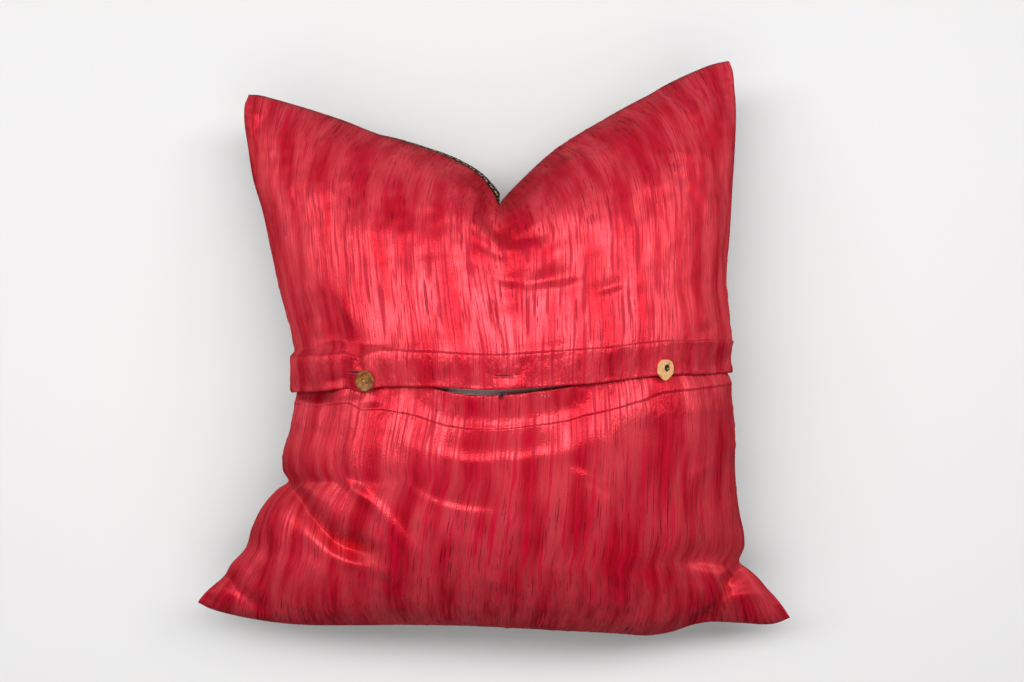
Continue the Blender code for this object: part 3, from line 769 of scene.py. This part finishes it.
def satin(name, shift, hem):
    """The satin of one panel: shift slides its threads, which were cut from another length, and
    hem gives the two heights on the cut cloth between which its crumpled hem fades in."""
    finish, tree, shader = new_finish(name)
    cut_place = cut_cloth(tree)
    place = add_node(tree, "ShaderNodeMapping", inputs={
        "Vector": cut_place, "Location": shift}).outputs[0]
    slub = streaks(tree, place, SLUB, (0.57, 0.42), (0.38, 0.62), 0.9)
    fine = streaks(tree, place, FINE_THREAD, (0.56, 0.40), (0.38, 0.60), 0.75)
    hair = streaks(tree, place, HAIR_THREAD, (0.42, 0.34), (0.46, 0.60), 0.7)
    dull = combined(tree, "MAXIMUM", slub, fine)
    cloud = share_of(tree, pattern(tree, place, *DYE_CLOUD), 0.30, 0.68)
    colour = mixed(tree, dull, mixed(tree, cloud, *SATIN_GROUND), SATIN_SLUB)
    rough = add_node(tree, "ShaderNodeMapRange", inputs={
        "Value": combined(tree, "MAXIMUM", dull, hair), "To Min": SATIN_ROUGHNESS[0],
        "To Max": SATIN_ROUGHNESS[1]})
    metal = add_node(tree, "ShaderNodeMapRange", inputs={
        "Value": dull, "To Min": SATIN_METAL[0], "To Max": SATIN_METAL[1]})
    up = add_node(tree, "ShaderNodeSeparateXYZ", inputs={0: cut_place}).outputs[1]
    crumple = combined(tree, "MULTIPLY", pattern(tree, place, *CRUMPLE, 3.0),
                       share_of(tree, up, hem[0] * MM, hem[1] * MM))
    grain = combined(tree, "MULTIPLY", pattern(tree, place, *CROSS_GRAIN), GRAIN_SHARE)
    warp = add_node(tree, "ShaderNodeTangent", {"direction_type": "UV_MAP", "uv_map": "cloth"})
    feed(tree, shader, {
        "Base Color": mixed(tree, hair, colour, SATIN_HAIR), "Roughness": rough.outputs[0],
        "Metallic": metal.outputs[0], "Anisotropic": 0.85, "Tangent": warp.outputs[0],
        "IOR": 1.55, "Specular Tint": linear("#ffc8bc"),
        "Normal": bumped(tree, combined(tree, "ADD", crumple, grain), 1.0, CRUMPLE_DEPTH)})
    return finish


lower_satin = satin("slubbed_silk_satin_lower", (0.37, 0.21, 0.0), (-42.0, -30.0))
lower_back = satin_panel("lower_back_cloth", lower_cloth, lower_v, lower_satin, "back_lower_panel")


# Upper back panel. The same satin, cut from the chopped top seam to the flap's edge, with a hem
# like the lower one's. Its flap hangs free over the lower panel and carries the buttons' slits.
UPPER_ROWS = 108
UPPER_SEED = 40
SLIT_MIDDLE = (12.5, -30.3)     # of the empty buttonhole
LIP_FLARE = 1.8         # how far the empty buttonhole's lower lip stands up
LIP_SINK = 1.0          # and how far its upper lip lies down
HEM_DROOP = 4.6         # how far the flap's own weight tips its hem down from the stitches
DRAPE = 2.2             # between the flap and the hem that it hangs over
DRAPE_REACH = (32.0, 62.0)      # how far above its edge the flap starts to lie down, and lies


def flap_lift(u, seen):
    """How far the flap stands off the filled form, so that it clears the hem under it."""
    near, far = DRAPE_REACH
    return (DRAPE + HEM * (1 - tuck(u))) * ease((far - over_flap_edge(seen)) / (far - near))


def upper_cloth(u, v):
    """Outer and inner face of the upper panel."""
    inside, normal, seen = back_surface(u, v, UPPER_FOLDS)
    from_edge = over_flap_edge(seen)
    to_seam = cut_lengths(u, v)[2]
    relief = cloth_relief(u, v, seen, from_edge, UPPER_SEED)
    thick = folded_thickness(from_edge, to_seam)
    droop = ease(from_edge / HEM_WIDTH) - ease((from_edge - HEM_WIDTH) / 60.0)
    relief = relief + HEM_DROOP * droop * ease(to_seam / 14.0)
    lip = ease((SLIT_MIDDLE[1] - seen[..., 1]) / 11.0) * LIP_FLARE
    lip = lip - LIP_SINK * np.exp(-((seen[..., 1] - SLIT_MIDDLE[1] - 2.0) / 3.5) ** 2)
    relief = relief + lip * np.exp(-((seen[..., 0] - SLIT_MIDDLE[0] - 3.0) / 16.0) ** 4)
    middle = (CLOTH + (HEM - CLOTH) * hem_band(from_edge)) / 2 + flap_lift(u, seen) + relief
    outer = inside + normal * (middle + thick / 2)[..., None]
    return outer, outer - normal * thick[..., None]


upper_hem_v = row_places(back_across, HEM_ROWS, over_flap_edge, UPPER_SEARCH)
upper_share = (lines(UPPER_ROWS, ROW_GATHER)[1:, None] + 1) / 2
upper_v = np.concatenate([upper_hem_v, upper_hem_v[-1] + (1 - upper_hem_v[-1]) * upper_share])
upper_satin = satin("slubbed_silk_satin_upper", (0.0, 0.0, 0.0), (44.0, 34.0))
upper_back = satin_panel("upper_back_cloth", upper_cloth, upper_v, upper_satin, "back_upper_panel")


# Rows of topstitching. Each hem is held down by a lockstitch of red polyester thread, 3.2 mm to
# the stitch, which sinks a little into the two layers. Each stitch is a small closed bead.
STITCH_STEP = 3.2
STITCH_LENGTH = 2.5
STITCH_RADIUS = 0.30
STITCH_RISE = 0.30      # of its middle over its ends
STITCH_SINK = 0.15      # of its ends into the cloth
ROW_REACH = 0.985       # share of the cut width that the rows cover
ROW_SAMPLES = 1400
BEAD_RINGS = 6
BEAD_SIDES = 6


def tube_faces(rings, sides):
    """Four-cornered faces of a closed tube of so many rings of an even number of points, each
    turning to the right as the tube runs on: its wall, and a fan over each end."""
    index = np.arange(rings * sides).reshape(rings, sides)
    after = np.roll(index, -1, axis=1)
    wall = np.stack([index[:-1], index[1:], after[1:], after[:-1]], axis=-1).reshape(-1, 4)
    next_two = np.arange(1, sides - 1, 2)
    fan = np.stack([np.zeros_like(next_two), next_two, next_two + 1, next_two + 2], axis=-1)
    return np.concatenate([wall, fan, fan[:, ::-1] + (rings - 1) * sides])


def beads(name, start, end, normal, radius, rise):
    """Many closed beads as one mesh, each from its start to its end: a ring at each step along,
    whose radius is the root of 1 less the fourth power of the share from the middle, and whose
    centre rises as half a sine along the bead's normal, or along one that all of them share."""
    normal = np.broadcast_to(normal, start.shape)
    share = np.linspace(0.0, 1.0, BEAD_RINGS)
    turn = np.linspace(0.0, 2 * np.pi, BEAD_SIDES, endpoint=False)
    size = radius * np.sqrt(np.clip(1 - (2 * share - 1) ** 4, 0.02, 1))
    run = unit(end - start)
    side = unit(np.cross(run, normal))
    over = np.cross(side, run)
    middle = start[:, None] + (end - start)[:, None] * share[None, :, None]
    middle = middle + normal[:, None] * (rise * np.sin(np.pi * share))[None, :, None]
    ring = (side[:, None, None] * np.cos(turn)[None, None, :, None]
            + over[:, None, None] * np.sin(turn)[None, None, :, None])
    points = middle[:, :, None] + ring * size[None, :, None, None]
    first = BEAD_RINGS * BEAD_SIDES * np.arange(len(start))[:, None, None]
    faces = (tube_faces(BEAD_RINGS, BEAD_SIDES) + first).reshape(-1, 4)
    return solid_mesh(name, points.reshape(-1, 3), faces)


def seam_row(cloth, measure, offset, search):
    """Starts, ends and normals of the stitches of one row, spaced along its length."""
    across = np.linspace(-ROW_REACH, ROW_REACH, ROW_SAMPLES)
    v = row_places(across, offset + np.array([-0.8, 0.0, 0.8]), measure, search)
    outer, _ = cloth(np.tile(across, (3, 1)), v)
    normal = grid_normals(outer)[1]
    line = outer[1]
    length = length_to(line)
    begin = np.arange(0.0, length[-1] - STITCH_LENGTH, STITCH_STEP)

    def at(values, where):
        return np.stack([np.interp(where, length, values[:, k]) for k in range(3)], axis=-1)
    lift = at(normal, begin + STITCH_LENGTH / 2)
    sunk = lift * STITCH_SINK
    return at(line, begin) - sunk, at(line, begin + STITCH_LENGTH) - sunk, lift


def two_toned(name, tones, grain, reach, roughness):
    """Plain dull stuff of two tones, in soft specks of so many millimetres."""
    finish, tree, shader = new_finish(name)
    colour = mixed(tree, share_of(tree, specks(tree, grain), *reach), *tones)
    feed(tree, shader, {"Base Color": colour, "Roughness": roughness})
    return finish


def thread(name, *tones):
    """Spun thread, thin and dull: its plies, drawn 0.4 mm apart, are seen as light and dark bits
    along it."""
    return two_toned(name, tones, 0.4, (0.35, 0.65), 0.6)


red_thread = thread("red_spun_polyester_thread", "#8a0a1c", "#c4283c")
flap_row = seam_row(upper_cloth, over_flap_edge, HEM_WIDTH, UPPER_SEARCH)
lower_row = seam_row(lower_cloth, lambda seen: -under_hem_edge(seen), -HEM_WIDTH, LOWER_SEARCH)
for row_name, row in (("flap_stitches", flap_row), ("hem_stitches", lower_row)):
    joined(beads(row_name, *row, STITCH_RADIUS, STITCH_RISE), red_thread)


# Buttonholes. Three slits in the flap's hem, about 20 mm long and bound with close stitches. The
# middle one has lost its button and gapes, the left one shows past its button, and the right one
# is hidden under its own.
# A slit's section: shares of its half width, and heights over the cloth
SLIT_SHAPE = [(-1.0, -0.4), (-0.5, 0.15), (0.5, 0.15), (1.0, -0.4), (0.5, -0.9), (-0.5, -0.9)]
BAR_STEP = 0.75         # the binding's stitches
BAR_LENGTH = 1.7
BAR_RADIUS = 0.33
BAR_RISE = 0.25
BAR_SINK = 0.1
# Each slit's name, middle, length, turn in degrees and half width
SLITS = [("slit_middle", SLIT_MIDDLE, 21.0, -1.0, 1.3),
         ("slit_left", (-136.0, -27.0), 17.0, -6.0, 0.9),
         ("slit_right", (176.0, -24.0), 19.0, 2.0, 0.7)]


def on_cloth(cloth, x, y, near_v=0.05):
    """Points of a panel's outer face that the eye sees at given places, with their normals and
    the directions across and up the cloth: Newton's rule on the plan, from steps across and up."""
    x, y = np.atleast_1d(np.asarray(x, float)), np.atleast_1d(np.asarray(y, float))
    u, v = x / 260.0, np.full_like(x, near_v)      # a first guess
    step = 1e-3
    for _ in range(14):
        here = plan(u, v)[0]
        du = (plan(u + step, v)[0] - here) / step
        dv = (plan(u, v + step)[0] - here) / step
        gap_x, gap_y = x - here[:, 0], y - here[:, 1]
        scale = du[:, 0] * dv[:, 1] - dv[:, 0] * du[:, 1]
        u = u + (gap_x * dv[:, 1] - dv[:, 0] * gap_y) / scale
        v = v + (du[:, 0] * gap_y - gap_x * du[:, 1]) / scale
    near = np.array([-1.0, 0.0, 1.0]) * 0.004
    outer, _ = cloth(u + near[None, :, None] + np.zeros((3, 1, 1)),
                     v + near[:, None, None] + np.zeros((1, 3, 1)))
    across, up = outer[1, 2] - outer[1, 0], outer[2, 1] - outer[0, 1]
    across, normal = unit(across), unit(np.cross(across, up))
    return outer[1, 1], normal, across, np.cross(normal, across)


# The cut edges of the satin inside a slit, dark with painted shade: their near-black colour stands
# for the shade in the slit
slit_painted_shade_finish = two_toned("satin_edge_painted_shade", ("#26040e", "#4c0a1c"), 0.6, (0.3, 0.7), 0.8)

for slit_name, (slit_x, slit_y), slit_long, slit_turn, slit_half in SLITS:
    lean = np.radians(slit_turn)
    reach = np.linspace(-0.5, 0.5, 25)
    spine, spine_normal, _, spine_up = on_cloth(
        upper_cloth, slit_x + reach * slit_long * np.cos(lean),
        slit_y + reach * slit_long * np.sin(lean))
    width = slit_half * np.sqrt(np.clip(1 - (2 * reach) ** 4, 0.01, 1))
    rings = [spine + spine_up * (width * up)[:, None] + spine_normal * over
             for up, over in SLIT_SHAPE]
    slit = solid_mesh(slit_name, np.stack(rings, axis=1).reshape(-1, 3),
                      tube_faces(len(reach), len(rings)))
    # the slit's near-black colour is painted shade
    joined(slit, slit_painted_shade_finish)
    bar = np.arange(-0.5 * slit_long - 1.0, 0.5 * slit_long + 1.0, BAR_STEP)
    bar_x = np.tile(slit_x + bar * np.cos(lean), 2)
    bar_side = np.repeat([-1.0, 1.0], len(bar))
    bar_y = np.tile(slit_y + bar * np.sin(lean), 2) + bar_side * slit_half * 0.9
    bar_start, bar_normal, _, bar_up = on_cloth(upper_cloth, bar_x, bar_y)
    bar_start = bar_start - bar_normal * BAR_SINK
    bar_end = bar_start + bar_up * (bar_side * BAR_LENGTH)[:, None]
    binding = beads(slit_name + "_binding", bar_start, bar_end, bar_normal, BAR_RADIUS, BAR_RISE)
    joined(binding, red_thread)


# Buttons. Two odd ones are left, both sewn to the lower panel and pushed through the flap: a
# dished round of coconut shell on the left, which leans, and a slice of a branch with its bark
# off and a hole at its pith on the right. Each hangs on a short shank of thread.
BUTTON_SIDES = 64
BUTTON_THREAD = 0.42    # radius of the strands in a button
SHANK_THREAD = 0.45     # and of those under it
SHANK_LENGTH = 5.5


def button_outline(wide, long, square=2.0, taper=0.0):
    """An oval whose corners are squared by a power, and whose lower half tapers to its end."""
    turn = np.linspace(0.0, 2 * np.pi, BUTTON_SIDES, endpoint=False)[::-1]
    x = np.sign(np.cos(turn)) * np.abs(np.cos(turn)) ** (2 / square)
    y = np.sign(np.sin(turn)) * np.abs(np.sin(turn)) ** (2 / square)
    return np.stack([x * wide / 2 * (1 - taper * ease((-y - 0.2) / 0.9)), y * long / 2], axis=-1)


def button_body(outline, profile, shift=(0.0, 0.0)):
    """Points of rings of an outline: each ring's share of it and height. Rings of a share under
    0.45 move over by a given amount, as a hole off the middle does."""
    rings = []
    for share, height in profile:
        ring = outline * share + np.array(shift) * float(share < 0.45)
        rings.append(np.column_stack([ring, np.full(BUTTON_SIDES, height)]))
    return np.concatenate(rings)


def button_frame(at, turn, tip, low):
    """Origin and three directions of a button whose middle the eye sees at a place, turned and
    tipped, and held off the flap by a given height under its middle."""
    place, normal, _, _ = on_cloth(upper_cloth, *at)
    place, normal = place[0], normal[0]
    right = unit(np.cross([0.0, 1.0, 0.0], normal))
    up = np.cross(normal, right)
    spin, lean = np.radians(turn), np.radians(tip)
    across = np.cos(spin) * right + np.sin(spin) * up
    length = np.cos(spin) * up - np.sin(spin) * right
    tilted = np.cos(lean) * across - np.sin(lean) * normal
    return place + normal * low, np.stack([tilted, length, np.cross(tilted, length)]), normal


def shank(name, origin, axes, normal, finish):
    """Four strands from the cloth under a button into its back."""
    spread = np.array([(-0.7, -0.5), (0.7, -0.5), (0.7, 0.5), (-0.7, 0.5)])
    top = origin + spread @ axes[:2] * 0.6
    foot = origin + spread @ axes[:2] - normal * SHANK_LENGTH
    joined(beads(name, foot, top, axes[1], SHANK_THREAD, 0.1), finish)


# Coconut shell, turned on a lathe and rubbed with oil: brown with darker flecks of fibre that run
# one way, and a soft shine.
shell_finish, tree, shader = new_finish("turned_coconut_shell")
fibre = add_node(tree, "ShaderNodeTexNoise", inputs={
    "Vector": scaled(tree, in_solid(tree), 0.5, 2.4, 1.0), "Scale": 1.0, "Detail": 4.0}).outputs[0]
shell_tone = mixed(tree, share_of(tree, specks(tree, 5.0), 0.35, 0.65), "#6c3c12", "#9a6228")
feed(tree, shader, {
    "Base Color": mixed(tree, share_of(tree, fibre, 0.52, 0.70, 0.7), shell_tone, "#3e1a08"),
    "Roughness": 0.5, "Normal": bumped(tree, fibre, 0.3, 0.3)})

SHELL = dict(wide=18.0, long=21.2)
# A button's section: shares of its outline, and heights
SHELL_PROFILE = [(0.3, -1.7), (0.80, -1.7), (0.93, -1.2), (0.99, -0.4), (1.0, 0.2), (0.985, 0.9),
                 (0.94, 1.45), (0.87, 1.7), (0.79, 1.6), (0.72, 1.15), (0.62, 0.65), (0.48, 0.25),
                 (0.40, 0.10), (0.22, 0.0), (0.06, 0.0)]
shell_origin, shell_axes, shell_normal = button_frame((-126.2, -34.4), -8.0, 30.0, 6.0)
shell_points = button_body(button_outline(**SHELL), SHELL_PROFILE)
shell = solid_mesh("shell_button", shell_points @ shell_axes + shell_origin,
                   tube_faces(len(SHELL_PROFILE), BUTTON_SIDES))
joined(shell, shell_finish, "button_left")

# The thread that crosses the dish between two holes, and the holes, as short dark plugs whose colour
# is painted shade
tan_thread = thread("waxed_tan_thread", "#7c5230", "#d09a6c")
# The holes' near-black colour is painted shade, standing for the shade inside a bored hole
hole_painted_shade_finish = two_toned("bored_hole_painted_shade", ("#1c0c04", "#38200e"), 0.8, (0.3, 0.7), 0.9)
SHELL_HOLES = np.array([(-2.4, 1.3, 0.2), (1.2, -1.6, 0.2)])
HOLE_RADIUS = 1.15
hole_out = shell_axes[2]
hole_middle = SHELL_HOLES @ shell_axes + shell_origin
joined(beads("shell_holes", hole_middle - hole_out * 0.8, hole_middle + hole_out * 0.25,
             shell_axes[0], HOLE_RADIUS, 0.0), hole_painted_shade_finish)
strand = np.array([(-0.45, -0.35, 0.0), (0.0, 0.0, 0.25), (0.4, 0.4, 0.0)])
strand_start = (SHELL_HOLES[:1] + strand) @ shell_axes + shell_origin
strand_end = (SHELL_HOLES[1:] + strand) @ shell_axes + shell_origin
joined(beads("shell_thread", strand_start, strand_end, hole_out, BUTTON_THREAD, 0.7), tan_thread)
shank("shell_shank", shell_origin - shell_axes[2] * 1.8, shell_axes, shell_normal, red_thread)

# Sawn branch wood, end grain up and left raw: pale straw with growth rings 1.1 mm apart round the
# pith, and a matt face.
branch_finish, tree, shader = new_finish("sawn_branch_end_grain")
branch_origin, branch_axes, branch_normal = button_frame((176.0, -24.5), 0.0, 4.0, 2.2)
PITH = np.array([1.2, 1.8])         # from the slice's middle
pith_place = (np.array([*PITH, 0.0]) @ branch_axes + branch_origin - MIDDLE) * MM
from_pith = add_node(tree, "ShaderNodeVectorMath", {"operation": "SUBTRACT"}, {
    0: in_solid(tree), 1: Vector(pith_place)}).outputs[0]
rings = add_node(tree, "ShaderNodeTexWave", {
    "wave_type": "RINGS", "rings_direction": "SPHERICAL"}, {
    "Vector": from_pith, "Scale": 0.314 / (1.1 * MM), "Distortion": 2.2,
    "Detail": 2.0, "Detail Scale": 0.6}).outputs[1]
wood = mixed(tree, share_of(tree, specks(tree, 3.5, 3.0), 0.35, 0.65), "#d8a468", "#ecbc88")
feed(tree, shader, {
    "Base Color": mixed(tree, share_of(tree, rings, 0.45, 0.9, 0.5), wood, "#c08a48"),
    "Roughness": 0.7, "Normal": bumped(tree, rings, 0.5, 0.3)})

BRANCH = dict(wide=19.0, long=20.4, square=2.7, taper=0.6)
BRANCH_PROFILE = [(0.3, -1.8), (0.93, -1.8), (0.99, -1.4), (1.0, -0.6), (1.0, 1.0), (0.985, 1.5),
                  (0.95, 1.75), (0.88, 1.8), (0.60, 1.8), (0.41, 1.78), (0.37, 1.65),
                  (0.35, 1.2), (0.34, 0.2), (0.10, 0.0)]
branch_points = button_body(button_outline(**BRANCH), BRANCH_PROFILE, PITH)
branch = solid_mesh("branch_button", branch_points @ branch_axes + branch_origin,
                    tube_faces(len(BRANCH_PROFILE), BUTTON_SIDES))
joined(branch, branch_finish, "button_right")

# The pith hole, as a plug whose dark colour is painted shade, with the ends of its thread
PITH_PROFILE = [(0.3, 0.3), (1.0, 0.3), (1.0, 1.15), (0.85, 1.25), (0.3, 1.0)]
pith_points = button_body(button_outline(6.3, 7.4), PITH_PROFILE) + np.array([*PITH, 0.0])
joined(solid_mesh("pith", pith_points @ branch_axes + branch_origin,
                  tube_faces(len(PITH_PROFILE), BUTTON_SIDES)), hole_painted_shade_finish)
PITH_BITS = np.array([(2.4, 2.2, 1.45), (2.3, -0.4, 1.45), (0.8, 0.9, 1.4)])
bit_start = PITH_BITS @ branch_axes + branch_origin
bit_end = bit_start + np.array([(0.5, -1.0, 0.1), (-0.5, -0.9, 0.1), (0.3, 0.9, 0.1)]) @ branch_axes
joined(beads("pith_thread", bit_start, bit_end, branch_axes[2], BUTTON_THREAD, 0.3),
       thread("undyed_cotton_thread", "#a8987c", "#e4d8c0"))
shank("branch_shank", branch_origin - branch_axes[2] * 1.9, branch_axes, branch_normal,
      red_thread)


# Left-over threads. The middle button is gone: the stub of its thread is still on the lower hem,
# and a few pale ends stand beside it.
STUB = (8.9, -51.0)
STUB_ENDS = np.array([(-2.4, -2.6), (-0.8, -4.4), (0.9, -4.8), (2.2, -3.4), (2.9, -1.2)])
stub_root, stub_normal, stub_across, stub_up = on_cloth(lower_cloth, *STUB, -0.02)
stub_end = (stub_root + stub_normal * 0.5 + STUB_ENDS[:, :1] * stub_across
            + STUB_ENDS[:, 1:] * stub_up)
stub_start = np.tile(stub_root + stub_up * 1.2, (len(STUB_ENDS), 1))
joined(beads("thread_stub", stub_start, stub_end, stub_normal, 0.5, 1.4),
       thread("old_brown_thread", "#2c060a", "#5a1016"))
PALE_ENDS = np.array([(52.5, -51.0), (55.8, -51.8), (60.0, -51.2)])
pale_start, pale_normal, _, pale_up = on_cloth(lower_cloth, *PALE_ENDS.T, -0.02)
joined(beads("pale_ends", pale_start - pale_up * 1.2, pale_start + pale_up * 1.3, pale_normal,
             0.4, 0.5), thread("pale_pink_thread", "#c0607c", "#e8a0b0"))


# Floor and light. A plain pale board under the cover, a long strip of light above the chopped
# edge, which the satin mirrors as a soft band, and a fill that it doesn't mirror. The floor isn't
# mirrored either, because it would turn the satin's steep sides pale.
FLOOR_HALF = 6.0        # in metres, like the lights
floor_mesh = bpy.data.meshes.new("floor")
floor_corners = [(x * FLOOR_HALF, y * FLOOR_HALF, -CLEAR * MM)
                 for x, y in ((-1, -1), (1, -1), (1, 1), (-1, 1))]
floor_mesh.from_pydata(floor_corners, [], [(0, 1, 2, 3)])
floor = bpy.data.objects.new("floor", floor_mesh)
bpy.context.collection.objects.link(floor)
floor_finish, tree, shader = new_finish("matt_white_board")
feed(tree, shader, {"Base Color": linear("#e0dfdf"), "Roughness": 0.9})
floor_mesh.materials.append(floor_finish)
floor.visible_glossy = False

# Each light's name, place, width across and up, power in watts, and whether it is mirrored
AIM = Vector((0.0, 0.0, 0.15))
LIGHTS = [("key", (-0.05, 0.62, 2.05), (5.0, 0.6), 70.0, True),
          ("fill", (0.0, -1.1, 2.3), (3.0, 2.0), 28.0, False)]
for light_name, light_place, light_size, light_power, light_shines in LIGHTS:
    light_data = bpy.data.lights.new(light_name, "AREA")
    light_data.shape = "RECTANGLE"
    light_data.size, light_data.size_y = light_size
    light_data.energy = light_power
    light = bpy.data.objects.new(light_name, light_data)
    light.location = light_place
    light.visible_glossy = light_shines
    towards = AIM - Vector(light_place)
    light.rotation_euler = towards.to_track_quat("-Z", "Y").to_euler()
    bpy.context.collection.objects.link(light)

# The room is dim, and pale on the side beyond the chopped edge.
room = bpy.data.worlds.new("dim_room_with_a_pale_side")
bpy.context.scene.world = room
room.use_nodes = True
tree = room.node_tree
way = add_node(tree, "ShaderNodeTexCoord").outputs["Generated"]
to_pale_side = add_node(tree, "ShaderNodeSeparateXYZ", inputs={0: way}).outputs[1]
room_light = add_node(tree, "ShaderNodeValToRGB", inputs={"Fac": to_pale_side}, stops=[
    (0.0, 0.03), (0.4, 0.04), (0.95, 0.35)]).outputs[0]
feed(tree, tree.nodes["Background"], {"Color": room_light})
